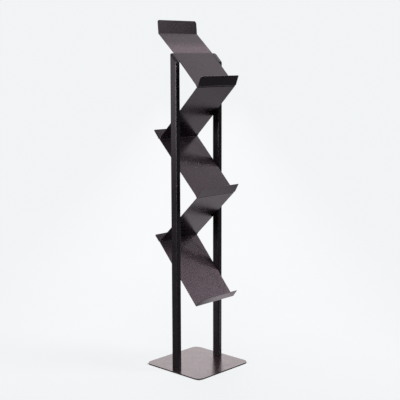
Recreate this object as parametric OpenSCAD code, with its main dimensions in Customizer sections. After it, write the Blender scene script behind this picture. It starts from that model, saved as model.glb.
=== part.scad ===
// Zig-zag brochure stand: five bent sheet trays held between two tube posts on a square plate.
// The front faces -Y, +Z is up, and the origin is on the floor under the middle of the plate.
// Trays are counted from the top. Odd ones slope down to the front and even ones to the back.

/* [Stand] */
// Height of the fold between the header and the top tray
top_fold_h = 1326; // [1200:1:1450]
// Distance from the posts' middle plane to the folds at the front and the back
fold_reach = 105; // [95:1:115]

/* [Trays] */
// Width of a tray, for a brochure 210 wide
tray_w = 216; // [212:1:235]
// Thickness of the trays' sheet
sheet_t = 1.5; // [1:0.1:2]
// Radius of the folds, at the middle of the sheet
bend_r = 3; // [2:0.1:4]
// How far the top tray stands above a straight line where it leaves the posts
crease_rise = 6; // [2:0.5:10]

/* [Header] */
// Length of the header above the top fold
header_len = 52; // [40:1:80]
// Angle by which the header leans back
header_lean = 4.8; // [0:0.1:15]

/* [Lips] */
// Length of the lip that holds a brochure's lower edge
lip_len = 40; // [30:1:55]
// Angle by which a lip leans outwards
lip_lean = 30; // [20:1:32]
// Radius of the corners of the lips and the header
corner_r = 12; // [6:0.5:14]

/* [Tray joints] */
// Length of the flange at a tray's upper edge, which lies under the tray above
joint_len = 12; // [9:0.5:20]
// Distance from the fold above to the flange's own bend
joint_back = 2; // [1.5:0.1:5]
// Radius of the flange's corners
joint_corner_r = 5; // [2:0.5:8]

/* [Side tabs] */
// Width of a tab that lies on the post, front to back
tab_w = 26; // [22:0.5:27]
// Depth of a tab under its tray, square to the tray
tab_depth = 20; // [18:0.5:26]
// Radius of a tab's bend, at the middle of the sheet
tab_bend_r = 1.5; // [1.2:0.1:2]
// Upright distance from the tray down to a tab's screws
screw_drop = 16; // [14:0.5:18]
// Distance between a tab's two screws, front to back
screw_pitch = 13; // [11:0.5:14]

/* [Posts] */
// Width of a post's tube, across the stand
post_w = 20.5; // [18:0.5:25]
// Depth of a post's tube, front to back
post_d = 33; // [28:0.5:40]
// Wall of a post's tube
post_wall = 1.5; // [1.2:0.1:2]
// Outer corner radius of a post's tube
post_corner_r = 3.5; // [2.2:0.1:4]

/* [Post caps] */
// Thickness of the plate that closes a post's top
cap_t = 4; // [3:0.1:5]
// How far a cap is ground down at its outer edge
cap_fall = 2.5; // [1:0.1:2.7]

/* [Base plate] */
// Side of the square base plate
plate_w = 300; // [280:1:360]
// Thickness of the base plate
plate_t = 4; // [3.5:0.1:8]
// Radius of the base plate's corners
plate_corner_r = 30; // [10:1:45]

/* [Floor pads] */
// Radius of a pad under the plate
pad_r = 12.5; // [8:0.5:16]
// Thickness of a pad
pad_t = 1.5; // [1:0.1:3]
// Distance from the plate's edges to a pad's middle
pad_inset = 32; // [24:1:40]

/* [Foot blocks] */
// Height of the tapped block inside a post's foot
block_h = 15; // [12:0.5:25]
// Gap between a block and the inside of its tube
block_gap = 0.2; // [0.1:0.05:0.4]
// Distance between a foot's two screws, front to back
foot_pitch = 13; // [12:0.5:14]

/* [Base screws] */
// Thread radius of a base screw
base_screw_r = 3; // [2.5:0.1:3.2]
// Overall length of a base screw, with its head
base_screw_len = 16; // [12:0.5:18]
// Radius of a base screw's countersunk head
base_head_r = 5.6; // [5:0.1:6]
// Height of a base screw's countersunk head
base_head_h = 3.1; // [2.5:0.1:3.3]
// Socket of a base screw, across its flats
base_socket_w = 4; // [3:0.1:4.4]

/* [Tray screws] */
// Thread radius of a tray screw
tray_screw_r = 2; // [1.5:0.1:2.2]
// Length of a tray screw under its head
tray_screw_len = 10; // [8:0.5:10]
// Radius of a tray screw's button head
tray_head_r = 3.8; // [3.4:0.1:4.2]
// Height of a tray screw's button head
tray_head_h = 2.2; // [1.8:0.1:2.6]
// Socket of a tray screw, across its flats
tray_socket_w = 2.5; // [2:0.1:2.8]

/* [Rivet nuts] */
// Body radius of a rivet nut
nut_r = 3; // [2.8:0.1:3.3]
// Length of a rivet nut
nut_len = 11; // [10.5:0.1:12]
// Radius of the collar that grips the tube's wall from inside
nut_collar_r = 4.4; // [4:0.1:4.8]
// Thickness of that collar
nut_collar_t = 1.5; // [1:0.1:2]

/* [Hidden] */
$fn = 48;

// Colours of the painted sheet, the posts, the plate and the small hardware
tray_paint = [0.36, 0.33, 0.35];
post_paint = [0.22, 0.21, 0.23];
plate_paint = [0.45, 0.42, 0.43];
screw_black = [0.12, 0.12, 0.13];
zinc = [0.72, 0.72, 0.7];
pad_black = [0.08, 0.08, 0.08];

// Places of the folds, from the header's down to the bottom tray's, in shares of their height and reach
fold_level_shares = [1, 0.848, 0.692, 0.532, 0.382, 0.2095];
fold_reach_shares = [0.955, 1.015, 0.975, 0.99, 1.015, 0.915];
// Lips of the five trays, in shares of their length and lean
lip_len_shares = [1.1, 1.14, 1.01, 0.88, 0.9];
lip_lean_shares = [0.7, 1.3, 1.015, 1.42, 1.25];
// Left and right corners of the header and of the five lips, in shares of their radius
corner_shares = [[0.7, 1], [1.15, 0.3], [0.35, 0.35], [0.9, 0.25], [0.35, 0.35], [0.9, 0.25]];

// Gap between faces that lie on each other, gap round a thread and gap round a screw in a tab
seat_gap = 0.05;
thread_gap = 0.05;
hole_gap = 0.25;
// How far a base screw's head lies inside the plate's lower face
head_recess = 0.2;
// Height of the straight rim below the cone of a base screw's head
head_rim = 0.4;
// Overrun of every cut
over = 1;
// Extra radius of a rounded corner, so that its arc crosses the sheet's edges and doesn't only touch them
corner_ease = 0.02;
// How far a tab's faces lie inside the tray's faces, where its root runs into the tray
root_ease = 0.04;
// Facets of a fold, of a cap's crown and of a button head's dome
bend_steps = 8;
crown_steps = 8;
dome_steps = 5;
// Flat top of a button head and depth of its socket, in shares of the head
dome_top_share = 0.45;
socket_share = 0.6;

plate_top = pad_t + plate_t;
post_in = tray_w / 2 + sheet_t + seat_gap;
post_out = post_in + post_w;
post_mid = (post_in + post_out) / 2;
// Reach of the cutting blocks, more than a post's slanted top
cut_span = 5 * post_d;

// Plain vector and outline functions
function unit(v) = v / norm(v);
function left_of(v) = [-v[1], v[0]];
function turned(v, a) = [v[0] * cos(a) - v[1] * sin(a), v[0] * sin(a) + v[1] * cos(a)];
function turn_angle(a, b) = atan2(a[0] * b[1] - a[1] * b[0], a * b);
function reversed(list) = [for (i = [len(list) - 1 : -1 : 0]) list[i]];

// One bend of a path at point p, from direction a to b, drawn at a distance to the path's left
function bend(p, a, b, r, off) =
    let (
        angle = turn_angle(a, b),
        way = sign(angle),
        start = p - a * r * tan(abs(angle) / 2),
        centre = start + left_of(a) * r * way,
        spoke = (start - centre) * (r - off * way) / r
    )
    [for (k = [0 : bend_steps]) centre + turned(spoke, angle * k / bend_steps)];

// One side of a sheet that follows a path
function sheet_side(path, r, off) =
    let (
        last = len(path) - 1,
        way = [for (i = [0 : last - 1]) unit(path[i + 1] - path[i])]
    )
    concat(
        [path[0] + left_of(way[0]) * off],
        [for (i = [1 : last - 1]) each bend(path[i], way[i - 1], way[i], r, off)],
        [path[last] + left_of(way[last - 1]) * off]
    );

// Closed outline of a bent sheet of thickness t
function sheet_outline(path, r, t) =
    concat(sheet_side(path, r, t / 2), reversed(sheet_side(path, r, -t / 2)));

// Places in the Y-Z plane. Folds and trays have the same numbers; fold 0 is under the header.
function back_or_front(n) = n % 2 == 0 ? 1 : -1;
function fold(n) = [
    back_or_front(n) * fold_reach * fold_reach_shares[n],
    top_fold_h * fold_level_shares[n]
];
function straight_level(y) =
    let (run = fold(0) - fold(1))
    fold(1)[1] + run[1] * (y - fold(1)[0]) / run[0];
function crease() = [post_d / 2, straight_level(post_d / 2) + crease_rise];
// Upper end of a tray's panel: the crease of the top tray, or the bend under the tray above
function panel_top(n) = n == 1
    ? crease()
    : fold(n - 1) + up(n - 1) * joint_back + under(n - 1) * (sheet_t + seat_gap);
function up(n) = unit(panel_top(n) - fold(n));
function under(n) = left_of(up(n)) * back_or_front(n);
function tilt(n) = atan(up(n)[1] / up(n)[0]);
function level(n, y) = fold(n)[1] + (y - fold(n)[0]) * up(n)[1] / up(n)[0];

function header_way() = [sin(header_lean), cos(header_lean)];
function header_tip() = fold(0) + header_way() * header_len;
function joint_tip(n) = panel_top(n) + up(n - 1) * joint_len;
function lip_way(n) =
    let (lean = lip_lean * lip_lean_shares[n - 1])
    [back_or_front(n) * sin(lean), cos(lean)];
function lip_tip(n) = fold(n) + lip_way(n) * lip_len * lip_len_shares[n - 1];
// Depth and height of one of the two screws of a tray's tab, the front one with k = -1
function screw_spot(n, k) = [
    k * screw_pitch / 2,
    level(n, k * screw_pitch / 2) - screw_drop
];

// Small shapes
module on_left() {
    mirror([1, 0, 0]) children();
}

module rounded_outline(w, d, r) {
    square([w - 2 * r, d], center = true);
    square([w, d - 2 * r], center = true);
    for (x = [-1, 1], y = [-1, 1]) {
        translate([x * (w / 2 - r), y * (d / 2 - r)]) circle(r = r);
    }
}

module post_outline(inset, r) {
    translate([post_mid, 0]) rounded_outline(post_w - 2 * inset, post_d - 2 * inset, r);
}

// Moves to the top tray's panel where it crosses the posts, with +Z square to the sheet
module on_top_panel() {
    translate([0, 0, level(1, 0)]) rotate([tilt(1), 0, 0]) children();
}

// Waste outside a rounded corner whose sharp point is at the origin, with the sheet at -X and -Y
module corner_waste(r) {
    translate([-r, -r, -sheet_t]) difference() {
        cube([r + over, r + over, 2 * sheet_t]);
        translate([0, 0, -over]) cylinder(r = r + corner_ease, h = 2 * sheet_t + 2 * over);
    }
}

// Waste at both corners of a sheet's free edge, for a left and a right radius
module tip_waste(tip, way, radii) {
    translate([0, tip[0], tip[1]]) rotate([atan2(way[1], way[0]), 0, 0]) {
        translate([tray_w / 2, 0, 0]) corner_waste(radii[1]);
        on_left() translate([tray_w / 2, 0, 0]) corner_waste(radii[0]);
    }
}

// A tray's bent sheet, whose path lies in the Y-Z plane
module folded_sheet(path) {
    rotate([90, 0, 90]) linear_extrude(height = tray_w, center = true)
        polygon(sheet_outline(path, bend_r, sheet_t));
}

// Tab on a tray's right edge, bent down onto the post's inner face
module side_tab(n) {
    tab_x = tray_w / 2 + sheet_t / 2;
    root_x = tray_w / 2 - 2 * bend_r;
    section = [[root_x, 0], [tab_x, 0], [tab_x, -tab_depth]];
    difference() {
        intersection() {
            translate([0, 0, level(n, 0)]) rotate([tilt(n) + 90, 0, 0])
                linear_extrude(height = cut_span, center = true)
                    polygon(sheet_outline(section, tab_bend_r, sheet_t - 2 * root_ease));
            translate([root_x - over, -tab_w / 2, level(n, 0) - cut_span / 2])
                cube([post_in - root_x + over, tab_w, cut_span]);
        }
        for (k = [-1, 1]) {
            translate([root_x, screw_spot(n, k)[0], screw_spot(n, k)[1]]) rotate([0, 90, 0])
                cylinder(r = tray_screw_r + hole_gap, h = post_in - root_x);
        }
    }
}

// Whole tray: header or joint flange, panel, lip and the two side tabs
module tray(n) {
    difference() {
        if (n == 1) {
            folded_sheet([header_tip(), fold(0), crease(), fold(1), lip_tip(1)]);
        } else {
            folded_sheet([joint_tip(n), panel_top(n), fold(n), lip_tip(n)]);
        }
        tip_waste(lip_tip(n), lip_way(n), corner_r * corner_shares[n]);
        if (n == 1) {
            tip_waste(header_tip(), header_way(), corner_r * corner_shares[0]);
        } else {
            tip_waste(joint_tip(n), up(n - 1), [joint_corner_r, joint_corner_r]);
        }
    }
    side_tab(n);
    on_left() side_tab(n);
}

// The posts and what is in them are drawn on the right, and mirrored to the left
module right_tube() {
    difference() {
        linear_extrude(height = level(1, post_d / 2) + post_d) post_outline(0, post_corner_r);
        translate([0, 0, -over]) linear_extrude(height = level(1, post_d / 2) + cut_span)
            post_outline(post_wall, post_corner_r - post_wall);
        translate([post_mid - cut_span / 2, -cut_span / 2, plate_top - cut_span])
            cube(cut_span);
        on_top_panel() translate([post_mid - cut_span / 2, -cut_span / 2, sheet_t / 2 - cap_t])
            cube(cut_span);
        for (n = [1 : 5], k = [-1, 1]) {
            translate([post_in - over, screw_spot(n, k)[0], screw_spot(n, k)[1]]) rotate([0, 90, 0])
                cylinder(r = nut_r + thread_gap, h = post_wall + 2 * over);
        }
    }
}

// Slanted plate on a post's top, ground down in a flat arc from the tray to the outer edge
module right_cap() {
    crown_r = (post_w * post_w + cap_fall * cap_fall) / (2 * cap_fall);
    crown_angle = asin(post_w / crown_r);
    crown = [
        for (k = [0 : crown_steps])
            let (a = crown_angle * k / crown_steps)
            [post_in + crown_r * sin(a), crown_r * (cos(a) - 1)]
    ];
    intersection() {
        linear_extrude(height = level(1, post_d / 2) + post_d) post_outline(0, post_corner_r);
        on_top_panel() translate([0, 0, sheet_t / 2]) rotate([90, 0, 0])
            linear_extrude(height = cut_span, center = true)
                polygon(concat([[post_in, -cap_t]], crown, [[post_out, -cap_t]]));
    }
}

// Bar inside a post's foot, tapped for the base screws
module right_block() {
    inset = post_wall + block_gap;
    translate([0, 0, plate_top]) difference() {
        linear_extrude(height = block_h) post_outline(inset, post_corner_r - post_wall);
        for (k = [-1, 1]) {
            translate([post_mid, k * foot_pitch / 2, -over])
                cylinder(r = base_screw_r + thread_gap, h = block_h + 2 * over);
        }
    }
}

// Countersunk head's outline turned about Z, larger all round by a gap
module countersunk_head(gap) {
    cylinder(r = base_head_r + gap, h = head_rim);
    translate([0, 0, head_rim])
        cylinder(r1 = base_head_r + gap, r2 = base_screw_r + gap, h = base_head_h - head_rim);
}

module base_screw() {
    difference() {
        union() {
            countersunk_head(0);
            cylinder(r = base_screw_r, h = base_screw_len);
        }
        translate([0, 0, -over]) cylinder(
            d = base_socket_w / cos(30), h = over + base_head_h * socket_share, $fn = 6
        );
    }
}

module at_base_screws() {
    for (x = [-1, 1], k = [-1, 1]) {
        translate([x * post_mid, k * foot_pitch / 2, pad_t]) children();
    }
}

// Button-head screw along +X, with the head's bearing face at the origin
module tray_screw() {
    dome = [
        for (k = [0 : dome_steps])
            let (a = 90 * k / dome_steps)
            [tray_head_r * (dome_top_share + (1 - dome_top_share) * cos(a)), tray_head_h * sin(a)]
    ];
    rotate([0, 90, 0]) difference() {
        union() {
            mirror([0, 0, 1]) rotate_extrude() polygon(concat([[0, 0]], dome, [[0, tray_head_h]]));
            cylinder(r = tray_screw_r, h = tray_screw_len);
        }
        translate([0, 0, -tray_head_h - over]) cylinder(
            d = tray_socket_w / cos(30), h = over + tray_head_h * socket_share, $fn = 6
        );
    }
}

module rivet_nut() {
    rotate([0, 90, 0]) difference() {
        union() {
            cylinder(r = nut_r, h = nut_len);
            translate([0, 0, post_wall + seat_gap]) cylinder(r = nut_collar_r, h = nut_collar_t);
        }
        translate([0, 0, -over]) cylinder(r = tray_screw_r + thread_gap, h = nut_len + 2 * over);
    }
}

// Places its child at every tray screw of the right post, at a distance x from the middle
module at_tray_screws(x) {
    for (n = [1 : 5], k = [-1, 1]) {
        translate([x, screw_spot(n, k)[0], screw_spot(n, k)[1]]) children();
    }
}

// Sub-parts
module base_plate() {
    color(plate_paint) difference() {
        translate([0, 0, pad_t]) linear_extrude(height = plate_t)
            rounded_outline(plate_w, plate_w, plate_corner_r);
        at_base_screws() {
            translate([0, 0, head_recess]) countersunk_head(seat_gap);
            translate([0, 0, -over])
                cylinder(r = base_head_r + seat_gap, h = over + head_recess + seat_gap);
            cylinder(r = base_screw_r + hole_gap, h = plate_t + over);
        }
    }
}

module floor_pads() {
    pad_at = plate_w / 2 - pad_inset;
    color(pad_black) for (x = [-1, 1], y = [-1, 1]) {
        translate([x * pad_at, y * pad_at, 0]) cylinder(r = pad_r, h = pad_t);
    }
}

module left_post() {
    color(post_paint) on_left() right_tube();
}

module right_post() {
    color(post_paint) right_tube();
}

module left_top_cap() {
    color(tray_paint) on_left() right_cap();
}

module right_top_cap() {
    color(tray_paint) right_cap();
}

module left_foot_block() {
    color(zinc) on_left() right_block();
}

module right_foot_block() {
    color(zinc) right_block();
}

module base_screws() {
    color(screw_black) at_base_screws() translate([0, 0, head_recess]) base_screw();
}

module top_tray() {
    color(tray_paint) tray(1);
}

module second_tray() {
    color(tray_paint) tray(2);
}

module third_tray() {
    color(tray_paint) tray(3);
}

module fourth_tray() {
    color(tray_paint) tray(4);
}

module bottom_tray() {
    color(tray_paint) tray(5);
}

module left_tray_screws() {
    color(screw_black) on_left() at_tray_screws(tray_w / 2) tray_screw();
}

module right_tray_screws() {
    color(screw_black) at_tray_screws(tray_w / 2) tray_screw();
}

module left_rivet_nuts() {
    color(zinc) on_left() at_tray_screws(post_in) rivet_nut();
}

module right_rivet_nuts() {
    color(zinc) at_tray_screws(post_in) rivet_nut();
}

base_plate();
floor_pads();
left_post();
right_post();
left_top_cap();
right_top_cap();
left_foot_block();
right_foot_block();
base_screws();
top_tray();
second_tray();
third_tray();
fourth_tray();
bottom_tray();
left_tray_screws();
right_tray_screws();
left_rivet_nuts();
right_rivet_nuts();
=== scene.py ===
# Looks of the zig-zag brochure stand: near-black satin powder coat on bent trays, tube posts and a plate
import math
from collections import namedtuple

import bmesh
import bpy
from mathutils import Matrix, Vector


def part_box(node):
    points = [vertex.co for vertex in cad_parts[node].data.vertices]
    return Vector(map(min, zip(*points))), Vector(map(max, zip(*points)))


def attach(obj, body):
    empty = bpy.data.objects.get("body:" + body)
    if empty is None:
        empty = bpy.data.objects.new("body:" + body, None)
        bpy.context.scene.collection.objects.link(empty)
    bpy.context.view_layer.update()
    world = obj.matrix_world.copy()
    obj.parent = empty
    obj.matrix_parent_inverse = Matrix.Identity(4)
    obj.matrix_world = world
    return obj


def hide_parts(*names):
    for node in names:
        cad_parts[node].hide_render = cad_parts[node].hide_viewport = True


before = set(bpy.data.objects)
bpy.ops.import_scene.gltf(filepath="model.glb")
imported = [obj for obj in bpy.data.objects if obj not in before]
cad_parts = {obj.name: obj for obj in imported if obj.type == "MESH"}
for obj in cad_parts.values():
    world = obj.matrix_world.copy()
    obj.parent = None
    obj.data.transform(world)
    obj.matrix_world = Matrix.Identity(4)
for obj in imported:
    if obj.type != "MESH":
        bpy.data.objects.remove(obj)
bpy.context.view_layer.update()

# Camera, at the photograph's place and viewing angle, with its angles in degrees
IMAGE_PX = 400
FOCAL_PX = 924.1
SENSOR_MM = 36.0
CAMERA_AT = (-2.6344, -2.4934, 1.2418)
CAMERA_TURN = -46.782
CAMERA_PITCH = 8.886
CAMERA_ROLL = 0.143

# Studio: each soft lamp's azimuth, elevation and half angle in degrees, seen from the stand, and its glow,
# which is the light that a perfect mirror would show, where 1 is white
LAMP_DISTANCE = 9.0
LAMP_AIM = Vector((0, 0, 0.7))
LAMPS = {
    "middle_lamp": (2.0, 43.0, 13.0, 0.64),
    "right_lamp": (-29.5, 40.0, 8.5, 0.60),
    "key_lamp": (-56.0, 44.0, 10.0, 15.0),
    "low_right_lamp": (-20.0, 24.0, 8.0, 4.2),
    "front_right_lamp": (-44.0, 13.0, 5.0, 0.28),
    "side_lamp": (-52.0, 18.0, 8.0, 1.0),
    "left_back_lamp": (138.0, 3.0, 8.0, 0.9),
    "left_lamp": (166.0, 3.0, 12.0, 8.5),
    "back_lamp": (43.5, 23.0, 13.0, 0.62),
    "high_back_lamp": (50.0, 64.0, 12.0, 4.0),
    "overhead_lamp": (120.0, 80.0, 25.0, 1.7),
    "camera_lamp": (224.0, 45.0, 18.0, 2.6),
}

# Floor and backdrop, along the photograph's line of view. To the stand the floor is grey and the room dark,
# so that near-black paint isn't washed out, while the camera sees both nearly white.
FLOOR_SIZE = 60.0
VIEW_AZIMUTH = math.radians(43.22)
VIEW_WAY = (math.cos(VIEW_AZIMUTH), math.sin(VIEW_AZIMUTH), 0)
SIDE_WAY = (-math.sin(VIEW_AZIMUTH), math.cos(VIEW_AZIMUTH), 0)
BACKDROP_WHITE = (0.940, 0.950, 0.960, 1.0)
BACKDROP_EDGE = (0.885, 0.902, 0.912, 1.0)
FLOOR_GREY = (0.08, 0.081, 0.082, 1.0)
DARK_ROOM = (0.0, 0.0, 0.0, 1.0)
SHADOW_SHARE = 0.15
SHADOW_FADE = (0.6, 2.0)

# The white floor turns into the edge colour between these distances ahead of the stand or beside it
FADE_FRONT = (0.9, -0.8)
FADE_BACK = (7.0, 24.0)
FADE_SIDE = (0.35, 1.3)

# White paper that reflections see: it grows between these distances from the stand's middle. Between the
# near and the far paper it is dimmer, by shares that depend on the distance beside the line of view.
PAPER_START = (0.07, 0.16)
PAPER_SIDE = (1.5, 0.5)
PAPER_ROUND_PLATE = (0.6, 0.35)
PAPER_FRONT = (0.55, 0.42)
PAPER_FRONT_SHARE = 0.45
PAPER_FAR = (1.2, 2.5)
DIM_SIDE = (0.60, 0.82)
DIM_SHARES = (0.33, 0.40)

# In the world the paper grows between these cosines of the angle from the line of view
WORLD_PAPER = (0.75, 0.93)

# Nodes by material. The plate and the pads are single nodes.
TRAYS = ("top_tray", "second_tray", "third_tray", "fourth_tray", "bottom_tray")
POSTS = ("left_post", "right_post")
CAPS = ("left_top_cap", "right_top_cap")
BLACK_SCREWS = ("left_tray_screws", "right_tray_screws", "base_screws")
ZINC_PIECES = ("left_rivet_nuts", "right_rivet_nuts", "left_foot_block", "right_foot_block")

# Rounding of the painted edges, which have the second material slot
EDGE_R = 0.0003
PLATE_EDGE_R = 0.0004
EDGE_SEGMENTS = 2
EDGE_PROFILE = 0.5
EDGE_SLOT = 1
WELD_DISTANCE = 1e-6
SHARP_ANGLE = math.radians(25)
SMOOTH_ANGLE = math.radians(50)
FACE_WEIGHT = 90

# Sizes of the frame. A tab's face stands outside its tray's edge, and no white floor lies under the plate.
TAB_OUT = 0.00146
WHITE_UNDER_EDGE = 0.0015
POST_LOW, POST_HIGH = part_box("right_post")
PLATE_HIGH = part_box("base_plate")[1]
TRAY_HALF_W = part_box("top_tray")[1].x - TAB_OUT
POST_IN = POST_LOW.x
POST_OUT = POST_HIGH.x
POST_MID = (POST_IN + POST_OUT) / 2
POST_HALF_W = (POST_OUT - POST_IN) / 2
POST_HALF_D = POST_HIGH.y
PLATE_HALF = PLATE_HIGH.x
PLATE_TOP = PLATE_HIGH.z
WHITE_START = PLATE_HALF - WHITE_UNDER_EDGE
POST_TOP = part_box("left_top_cap")[1].z

# A pattern is a noise: its scale per metre, detail and roughness, and the values where it starts and is full
Pattern = namedtuple("Pattern", "per_m detail rough low high")

# A relief is a bump from a noise: the noise's scale per metre and detail, and the bump's strength and depth
Relief = namedtuple("Relief", "per_m detail strength depth")

# Powder coat: its two tones, and the tint and roughness of its base's and its coat's reflections
PAINT_IOR = 1.5
PAINTS = {
    "tray_paint": {
        "cool": (0.0062, 0.0078, 0.0092),
        "warm": (0.0096, 0.0102, 0.0116),
        "tint": (1.0, 0.67, 0.87, 1.0),
        "rough": (0.22, 0.34),
        "coat_tint": (1.0, 0.83, 0.92, 1.0),
        "coat_rough": 0.20,
    },
    "post_paint": {
        "cool": (0.0052, 0.0067, 0.0083),
        "warm": (0.0080, 0.0087, 0.0104),
        "tint": (1.0, 0.79, 0.90, 1.0),
        "rough": (0.24, 0.36),
        "coat_tint": (1.0, 0.89, 0.95, 1.0),
        "coat_rough": 0.20,
    },
    "plate_paint": {
        "cool": (0.0110, 0.0100, 0.0108),
        "warm": (0.0170, 0.0135, 0.0148),
        "tint": (1.0, 0.80, 0.86, 1.0),
        "rough": (0.25, 0.37),
        "coat_tint": (1.0, 0.78, 0.82, 1.0),
        "coat_rough": 0.23,
    },
}
TONE_DRIFT = Pattern(14.0, 3.0, 0.5, 0.35, 0.65)
SMUDGES = Pattern(23.0, 4.0, 0.6, 0.30, 0.70)
MOTTLE = Pattern(130.0, 3.0, 0.6, 0.35, 0.65)
MOTTLE_ROUGH = 0.03
WAVES = Relief(6.0, 1.0, 1.0, 0.0008)
ORANGE_PEEL = Relief(350.0, 1.0, 1.0, 0.00002)
GRAIN = Relief(1500.0, 2.0, 0.5, 0.00006)

# Dust and wear of the powder coat. Scuffs start and are full at two distances from an edge. A painted
# highlight of light speckles, in the scuffs' colour, lies in a band above the top tray's crease.
DUST_COLOUR = (0.16, 0.155, 0.15)
DUST_SPECKS = Pattern(620.0, 1.0, 0.5, 0.70, 0.76)
DUST_CLOUDS = Pattern(31.0, 3.0, 0.5, 0.45, 0.65)
DUST_COVER = 0.7
SCUFF_AND_HIGHLIGHT_COLOUR = (0.17, 0.155, 0.155)
SCUFF_ROUGH = 0.6
EDGE_SCUFFS = Pattern(240.0, 4.0, 0.7, 0.50, 0.62)
SCUFFED_PLACES = Pattern(17.0, 2.0, 0.5, 0.38, 0.62)
SCUFF_FROM_EDGE = (0.0016, 0.00048)
# Light speckles of the painted highlight above the top tray's crease, and the heights where its band starts
# and ends
CREASE_HIGHLIGHT_SPECKS = Pattern(420.0, 3.0, 0.7, 0.42, 0.57)
CREASE_BAND_START = (POST_TOP - 0.0033, POST_TOP + 0.0047)
CREASE_BAND_END = (POST_TOP + 0.0507, POST_TOP + 0.0127)

# Chips: the place and radius of each. A chip's edge lies between two shares of its radius, moved by a noise.
CHIP_COLOUR = (0.42, 0.40, 0.39)
CHIP_DEPTH = 0.0001
CHIP_NOISE_PER_RADIUS = 1.6
CHIP_NOISE_DETAIL = 3.0
CHIP_EDGE_SHARES = (1.45, 1.10)
POST_CHIPS = (
    ((-POST_OUT, -POST_HALF_D, 1.2015), 0.0036),
    ((-POST_OUT, -POST_HALF_D, 0.7466), 0.0030),
    ((0.1156, -POST_HALF_D, 0.0231), 0.0020),
    ((POST_IN, 0.0090, 0.0100), 0.0020),
    ((POST_OUT, POST_HALF_D, 0.4120), 0.0018),
    ((-POST_IN, POST_HALF_D, 1.0300), 0.0016),
)
TRAY_CHIPS = (
    ((-0.0696, -0.1110, 0.7400), 0.0022),
    ((0.0142, -0.1155, 0.7390), 0.0022),
)
PLATE_CHIPS = (
    ((0.0805, -0.0893, PLATE_TOP), 0.0030),
    ((-0.1480, 0.0600, 0.0050), 0.0020),
)

# Hardware: blackened screws with brighter rubs, cloudy zinc on nuts and foot blocks, and dusty rubber pads
HARDWARE = {
    "black_screws": {
        "dark": (0.028, 0.027, 0.029),
        "light": (0.12, 0.118, 0.115),
        "patches": Pattern(500.0, 3.0, 0.6, 0.55, 0.70),
        "metallic": 0.9,
        "gloss": Pattern(900.0, 3.0, 0.5, 0.30, 0.70),
        "rough": (0.36, 0.54),
        "grain": Relief(2500.0, 2.0, 0.4, 0.00003),
    },
    "zinc_hardware": {
        "dark": (0.50, 0.50, 0.49),
        "light": (0.66, 0.655, 0.63),
        "patches": Pattern(160.0, 4.0, 0.6, 0.35, 0.65),
        "metallic": 1.0,
        "gloss": Pattern(420.0, 3.0, 0.5, 0.30, 0.70),
        "rough": (0.30, 0.48),
        "grain": Relief(1800.0, 2.0, 0.4, 0.00003),
    },
    "black_rubber": {
        "dark": (0.017, 0.017, 0.017),
        "light": (0.040, 0.039, 0.037),
        "patches": Pattern(120.0, 4.0, 0.6, 0.40, 0.70),
        "metallic": 0.0,
        "gloss": Pattern(120.0, 4.0, 0.6, 0.40, 0.70),
        "rough": (0.72, 0.90),
        "grain": Relief(1300.0, 2.0, 0.6, 0.00008),
    },
}


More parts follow.
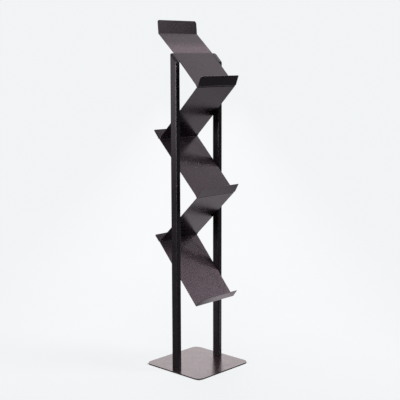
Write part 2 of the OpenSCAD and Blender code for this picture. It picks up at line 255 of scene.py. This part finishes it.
class Tree:
    """Adds and links the nodes of one material or world. A value may be a number, a tuple or a socket."""

    def __init__(self, owner):
        owner.use_nodes = True
        self.tree = owner.node_tree
        self.tree.nodes.clear()

    def node(self, kind, inputs=None, **settings):
        made = self.tree.nodes.new(kind)
        for name, value in settings.items():
            setattr(made, name, value)
        for name, value in (inputs or {}).items():
            if isinstance(value, bpy.types.NodeSocket):
                self.tree.links.new(value, made.inputs[name])
            else:
                made.inputs[name].default_value = value
        return made

    def place(self):
        """The point on the object, in metres from the frame's origin."""
        return self.node("ShaderNodeTexCoord").outputs["Object"]

    def coordinate(self, where, axis):
        return self.node("ShaderNodeSeparateXYZ", {0: where}).outputs[axis]

    def calc(self, operation, a, b=0.0):
        return self.node("ShaderNodeMath", {0: a, 1: b}, operation=operation).outputs[0]

    def absolute(self, value):
        return self.calc("ABSOLUTE", value)

    def most(self, *values):
        """The largest of several values."""
        whole = values[0]
        for value in values[1:]:
            whole = self.calc("MAXIMUM", whole, value)
        return whole

    def product(self, *values):
        whole = values[0]
        for value in values[1:]:
            whole = self.calc("MULTIPLY", whole, value)
        return whole

    def from_middle(self, where):
        """Distance from the frame's middle along X or Y, whichever is larger."""
        return self.most(*(self.absolute(self.coordinate(where, axis)) for axis in ("X", "Y")))

    def along(self, where, way):
        product = self.node("ShaderNodeVectorMath", {0: where, 1: way}, operation="DOT_PRODUCT")
        return product.outputs["Value"]

    def spread(self, value, low, high, to_low=0.0, to_high=1.0, smooth=False):
        """Turns the range from low to high into the range from to_low to to_high, and stops at its ends."""
        return self.node(
            "ShaderNodeMapRange",
            {"Value": value, "From Min": low, "From Max": high, "To Min": to_low, "To Max": to_high},
            interpolation_type="SMOOTHSTEP" if smooth else "LINEAR",
        ).outputs["Result"]

    def noise(self, where, per_m, detail, rough=0.5):
        return self.node(
            "ShaderNodeTexNoise", {"Vector": where, "Scale": per_m, "Detail": detail, "Roughness": rough}
        ).outputs["Fac"]

    def pattern(self, where, pattern, to_low=0.0, to_high=1.0):
        noise = self.noise(where, pattern.per_m, pattern.detail, pattern.rough)
        return self.spread(noise, pattern.low, pattern.high, to_low, to_high)

    def relief(self, where, relief, under=None):
        """The normal of a surface with a relief, which may lie on the normal of another one."""
        inputs = {"Strength": relief.strength, "Distance": relief.depth}
        inputs["Height"] = self.noise(where, relief.per_m, relief.detail)
        if under is not None:
            inputs["Normal"] = under
        return self.node("ShaderNodeBump", inputs).outputs["Normal"]

    def mix(self, factor, a, b):
        """Colour a where the factor is 0 and colour b where it is 1."""
        made = self.node("ShaderNodeMix", data_type="RGBA")
        for socket, value in ((0, factor), (6, a), (7, b)):
            if isinstance(value, bpy.types.NodeSocket):
                self.tree.links.new(value, made.inputs[socket])
            elif socket:
                made.inputs[socket].default_value = (*value, 1.0)[:4]
            else:
                made.inputs[socket].default_value = value
        return made.outputs[2]

    def chip(self, where, centre, radius):
        """A small mark with a ragged edge at one place."""
        apart = self.node("ShaderNodeVectorMath", {0: where, 1: centre}, operation="DISTANCE")
        noise = self.noise(where, CHIP_NOISE_PER_RADIUS / radius, CHIP_NOISE_DETAIL)
        ragged = self.calc("ADD", apart.outputs["Value"], self.product(noise, radius))
        return self.spread(ragged, *(share * radius for share in CHIP_EDGE_SHARES))


def make_camera():
    data = bpy.data.cameras.new("camera")
    data.sensor_width = SENSOR_MM
    data.lens = FOCAL_PX * SENSOR_MM / IMAGE_PX
    camera = bpy.data.objects.new("camera", data)
    camera.location = CAMERA_AT
    camera.rotation_euler = [math.radians(a) for a in (90 - CAMERA_PITCH, CAMERA_ROLL, CAMERA_TURN)]
    bpy.context.scene.collection.objects.link(camera)
    bpy.context.scene.camera = camera


def make_lamps():
    """Soft disks round the stand, hidden from the camera. A disk's power follows from its glow and size."""
    for name, (azimuth, elevation, half_angle, glow) in LAMPS.items():
        a = math.radians(azimuth)
        e = math.radians(elevation)
        away = Vector((math.cos(e) * math.cos(a), math.cos(e) * math.sin(a), math.sin(e)))
        radius = LAMP_DISTANCE * math.tan(math.radians(half_angle))
        light = bpy.data.lights.new(name, "AREA")
        light.shape = "DISK"
        light.size = 2 * radius
        light.energy = glow * math.pi * math.pi * radius ** 2
        lamp = bpy.data.objects.new(name, light)
        lamp.location = LAMP_AIM + away * LAMP_DISTANCE
        lamp.rotation_euler = (-away).to_track_quat("-Z", "Y").to_euler()
        lamp.visible_camera = False
        bpy.context.scene.collection.objects.link(lamp)


def white_share(t, seen, paper):
    """How much white a ray sees: seen for a camera ray, paper for a glossy or transmission ray, else 0."""
    path = t.node("ShaderNodeLightPath")
    mirrored = t.most(path.outputs["Is Glossy Ray"], path.outputs["Is Transmission Ray"])
    return t.most(t.product(path.outputs["Is Camera Ray"], seen), t.product(mirrored, paper))


def paper_sweep(t, ahead, aside, radius):
    """How white the floor is in reflections: whitest near the plate and far behind it, dimmer in between."""
    sweep = t.product(t.spread(ahead, *PAPER_START, smooth=True), t.spread(aside, *PAPER_SIDE, smooth=True))
    front = t.spread(ahead, *PAPER_FRONT, 0.0, PAPER_FRONT_SHARE)
    near = t.most(t.spread(radius, *PAPER_ROUND_PLATE), front)
    far = t.spread(ahead, *PAPER_FAR, smooth=True)
    dimmed = t.spread(aside, *DIM_SIDE, *DIM_SHARES)
    return t.product(sweep, t.spread(t.most(near, far), 0.0, 1.0, dimmed, 1.0))


def pale_floor():
    """A floor that the camera sees nearly white, with the stand's soft shadow kept on it."""
    material = bpy.data.materials.new("pale_floor")
    t = Tree(material)
    where = t.place()
    ahead = t.along(where, VIEW_WAY)
    aside = t.absolute(t.along(where, SIDE_WAY))
    radius = t.node("ShaderNodeVectorMath", {0: where}, operation="LENGTH").outputs["Value"]
    fade = t.most(
        t.spread(ahead, *FADE_FRONT, smooth=True),
        t.spread(ahead, *FADE_BACK, smooth=True),
        t.spread(aside, *FADE_SIDE, smooth=True),
    )
    backdrop = t.mix(fade, BACKDROP_WHITE, BACKDROP_EDGE)
    white = t.node("ShaderNodeEmission", {"Color": backdrop, "Strength": 1.0}).outputs[0]
    seen_floor = t.node("ShaderNodeBsdfDiffuse", {"Color": BACKDROP_EDGE}).outputs[0]
    real_floor = t.node("ShaderNodeBsdfDiffuse", {"Color": FLOOR_GREY}).outputs[0]
    camera_ray = t.node("ShaderNodeLightPath").outputs["Is Camera Ray"]
    shaded = t.node("ShaderNodeMixShader", {0: camera_ray, 1: real_floor, 2: seen_floor}).outputs[0]
    beside = t.calc("GREATER_THAN", t.from_middle(where), WHITE_START)
    seen = t.product(t.spread(radius, *SHADOW_FADE, 1.0 - SHADOW_SHARE, 1.0, smooth=True), beside)
    paper = t.product(paper_sweep(t, ahead, aside, radius), beside)
    mixed = t.node("ShaderNodeMixShader", {0: white_share(t, seen, paper), 1: shaded, 2: white})
    t.node("ShaderNodeOutputMaterial", {"Surface": mixed.outputs[0]})
    material.cycles.emission_sampling = "NONE"
    return material


def make_floor():
    bpy.ops.mesh.primitive_plane_add(size=FLOOR_SIZE, location=(0, 0, 0))
    floor = bpy.context.object
    floor.name = "floor"
    floor.data.materials.append(pale_floor())


def make_world():
    """A dark room with a white end behind the stand in reflections, and white all round for the camera."""
    world = bpy.data.worlds.new("studio")
    bpy.context.scene.world = world
    t = Tree(world)
    ahead = t.along(t.node("ShaderNodeTexCoord").outputs["Generated"], VIEW_WAY)
    paper = t.spread(ahead, *WORLD_PAPER, smooth=True)
    white = t.node("ShaderNodeBackground", {"Color": BACKDROP_EDGE, "Strength": 1.0}).outputs[0]
    room = t.node("ShaderNodeBackground", {"Color": DARK_ROOM, "Strength": 1.0}).outputs[0]
    mixed = t.node("ShaderNodeMixShader", {0: white_share(t, 1.0, paper), 1: room, 2: white})
    t.node("ShaderNodeOutputWorld", {"Surface": mixed.outputs[0]})
    world.cycles.sampling_method = "NONE"


def tray_edge(t, where):
    """Distance from the nearest side edge of a tray."""
    return t.calc("SUBTRACT", TRAY_HALF_W, t.absolute(t.coordinate(where, "X")))


def post_edge(t, where):
    """Distance of a point on a post's face from the post's nearest long corner."""
    across = t.absolute(t.calc("SUBTRACT", t.absolute(t.coordinate(where, "X")), POST_MID))
    deep = t.absolute(t.coordinate(where, "Y"))
    return t.most(t.calc("SUBTRACT", POST_HALF_W, across), t.calc("SUBTRACT", POST_HALF_D, deep))


def plate_edge(t, where):
    """Distance from the nearest edge of the plate."""
    return t.calc("SUBTRACT", PLATE_HALF, t.from_middle(where))


def crease_highlight(t, where):
    """A painted highlight of light speckles just above the top tray's crease, which is about level with the
    posts' tops.
    """
    height = t.coordinate(where, "Z")
    start = t.spread(height, *CREASE_BAND_START, smooth=True)
    end = t.spread(height, *CREASE_BAND_END, smooth=True)
    return t.product(t.pattern(where, CREASE_HIGHLIGHT_SPECKS), start, end)


def paint(name, edge_distance, chips, painted_highlight=None, edge=False):
    """Powder coat with relief, smudges, dust, scuffs, chips and, where given, a painted highlight. The edge
    variant is for rounded edges.
    """
    look = PAINTS[name]
    material = bpy.data.materials.new(name + ("_edge" if edge else ""))
    t = Tree(material)
    where = t.place()

    near_edge = 1.0 if edge else t.spread(edge_distance(t, where), *SCUFF_FROM_EDGE)
    scuffs_and_highlight = t.product(t.pattern(where, EDGE_SCUFFS), t.pattern(where, SCUFFED_PLACES), near_edge)
    # The crease band added here is a painted highlight, not wear; it takes the scuffs' light colour and
    # roughness.
    if painted_highlight is not None:
        scuffs_and_highlight = t.most(scuffs_and_highlight, painted_highlight(t, where))
    chipped = t.most(*(t.chip(where, centre, radius) for centre, radius in chips))
    dust = t.product(t.pattern(where, DUST_SPECKS), t.pattern(where, DUST_CLOUDS), DUST_COVER)

    colour = t.mix(t.pattern(where, TONE_DRIFT), look["cool"], look["warm"])
    colour = t.mix(dust, colour, DUST_COLOUR)
    colour = t.mix(scuffs_and_highlight, colour, SCUFF_AND_HIGHLIGHT_COLOUR)
    colour = t.mix(chipped, colour, CHIP_COLOUR)

    smudged = t.pattern(where, SMUDGES, *look["rough"])
    rough = t.calc("ADD", smudged, t.pattern(where, MOTTLE, -MOTTLE_ROUGH, MOTTLE_ROUGH))
    rough = t.most(rough, t.product(t.most(scuffs_and_highlight, chipped), SCUFF_ROUGH))

    peel = t.relief(where, ORANGE_PEEL, t.relief(where, WAVES))
    grain = t.relief(where, GRAIN, peel)
    dents = {"Strength": 1.0, "Distance": CHIP_DEPTH, "Height": chipped, "Normal": grain}
    dented = t.node("ShaderNodeBump", dents, invert=True).outputs["Normal"]

    shader = t.node("ShaderNodeBsdfPrincipled", {
        "Base Color": colour,
        "Roughness": rough,
        "Normal": dented,
        "IOR": PAINT_IOR,
        "Specular Tint": look["tint"],
        "Coat Weight": 1.0,
        "Coat Roughness": look["coat_rough"],
        "Coat IOR": PAINT_IOR,
        "Coat Tint": look["coat_tint"],
        "Coat Normal": peel,
    })
    t.node("ShaderNodeOutputMaterial", {"Surface": shader.outputs["BSDF"]})
    return material


def hardware(name):
    """Metal or rubber in patches of two shades, with uneven gloss and a fine grain."""
    look = HARDWARE[name]
    material = bpy.data.materials.new(name)
    t = Tree(material)
    where = t.place()
    shader = t.node("ShaderNodeBsdfPrincipled", {
        "Base Color": t.mix(t.pattern(where, look["patches"]), look["dark"], look["light"]),
        "Roughness": t.pattern(where, look["gloss"], *look["rough"]),
        "Metallic": look["metallic"],
        "Normal": t.relief(where, look["grain"]),
    })
    t.node("ShaderNodeOutputMaterial", {"Surface": shader.outputs["BSDF"]})
    return material


def round_edges(shape, edge_r):
    """Bevels a shape's sharp edges, in a material slot of their own, and keeps its points inside its box."""
    bmesh.ops.remove_doubles(shape, verts=shape.verts, dist=WELD_DISTANCE)
    low = [min(v.co[k] for v in shape.verts) for k in range(3)]
    high = [max(v.co[k] for v in shape.verts) for k in range(3)]
    sharp = [e for e in shape.edges if len(e.link_faces) == 2 and e.calc_face_angle() > SHARP_ANGLE]
    bmesh.ops.bevel(
        shape, geom=sharp, offset=edge_r, offset_type="OFFSET", segments=EDGE_SEGMENTS,
        profile=EDGE_PROFILE, affect="EDGES", clamp_overlap=False, material=EDGE_SLOT,
    )
    for v in shape.verts:
        v.co = [min(max(c, lo), hi) for c, lo, hi in zip(v.co, low, high)]


def rounded(node, edge_r):
    """A copy of a CAD node with its sharp edges rounded, which stands for the node."""
    shape = bmesh.new()
    shape.from_mesh(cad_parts[node].data)
    round_edges(shape, edge_r)
    mesh = bpy.data.meshes.new(node + "_rounded")
    shape.to_mesh(mesh)
    shape.free()
    mesh.shade_smooth()
    mesh.set_sharp_from_angle(angle=SMOOTH_ANGLE)
    piece = bpy.data.objects.new(node + "_rounded", mesh)
    bpy.context.scene.collection.objects.link(piece)
    weighted = piece.modifiers.new("weighted_normals", "WEIGHTED_NORMAL")
    weighted.keep_sharp = True
    weighted.weight = FACE_WEIGHT
    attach(piece, "root")
    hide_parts(node)
    return piece


def give(piece, *materials):
    piece.data.materials.clear()
    for material in materials:
        piece.data.materials.append(material)


def dress(nodes, paint_name, edge_distance, chips, edge_r, painted_highlight=None):
    """Rounded copies of painted nodes, with the paint on their faces and its worn variant on their edges."""
    faces = paint(paint_name, edge_distance, chips, painted_highlight)
    edges = paint(paint_name, edge_distance, chips, painted_highlight, edge=True)
    for node in nodes:
        piece = rounded(node, edge_r)
        give(piece, faces, edges)


def dress_hardware(nodes, material_name):
    material = hardware(material_name)
    for node in nodes:
        give(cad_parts[node], material)


make_camera()
make_world()
make_floor()
make_lamps()
# The trays get a painted highlight in a band above the top tray's crease.
dress(TRAYS, "tray_paint", tray_edge, TRAY_CHIPS, EDGE_R, crease_highlight)
dress(POSTS + CAPS, "post_paint", post_edge, POST_CHIPS, EDGE_R)
dress(("base_plate",), "plate_paint", plate_edge, PLATE_CHIPS, PLATE_EDGE_R)
dress_hardware(BLACK_SCREWS, "black_screws")
dress_hardware(ZINC_PIECES, "zinc_hardware")
dress_hardware(("floor_pads",), "black_rubber")

bpy.context.scene.view_settings.view_transform = "Standard"
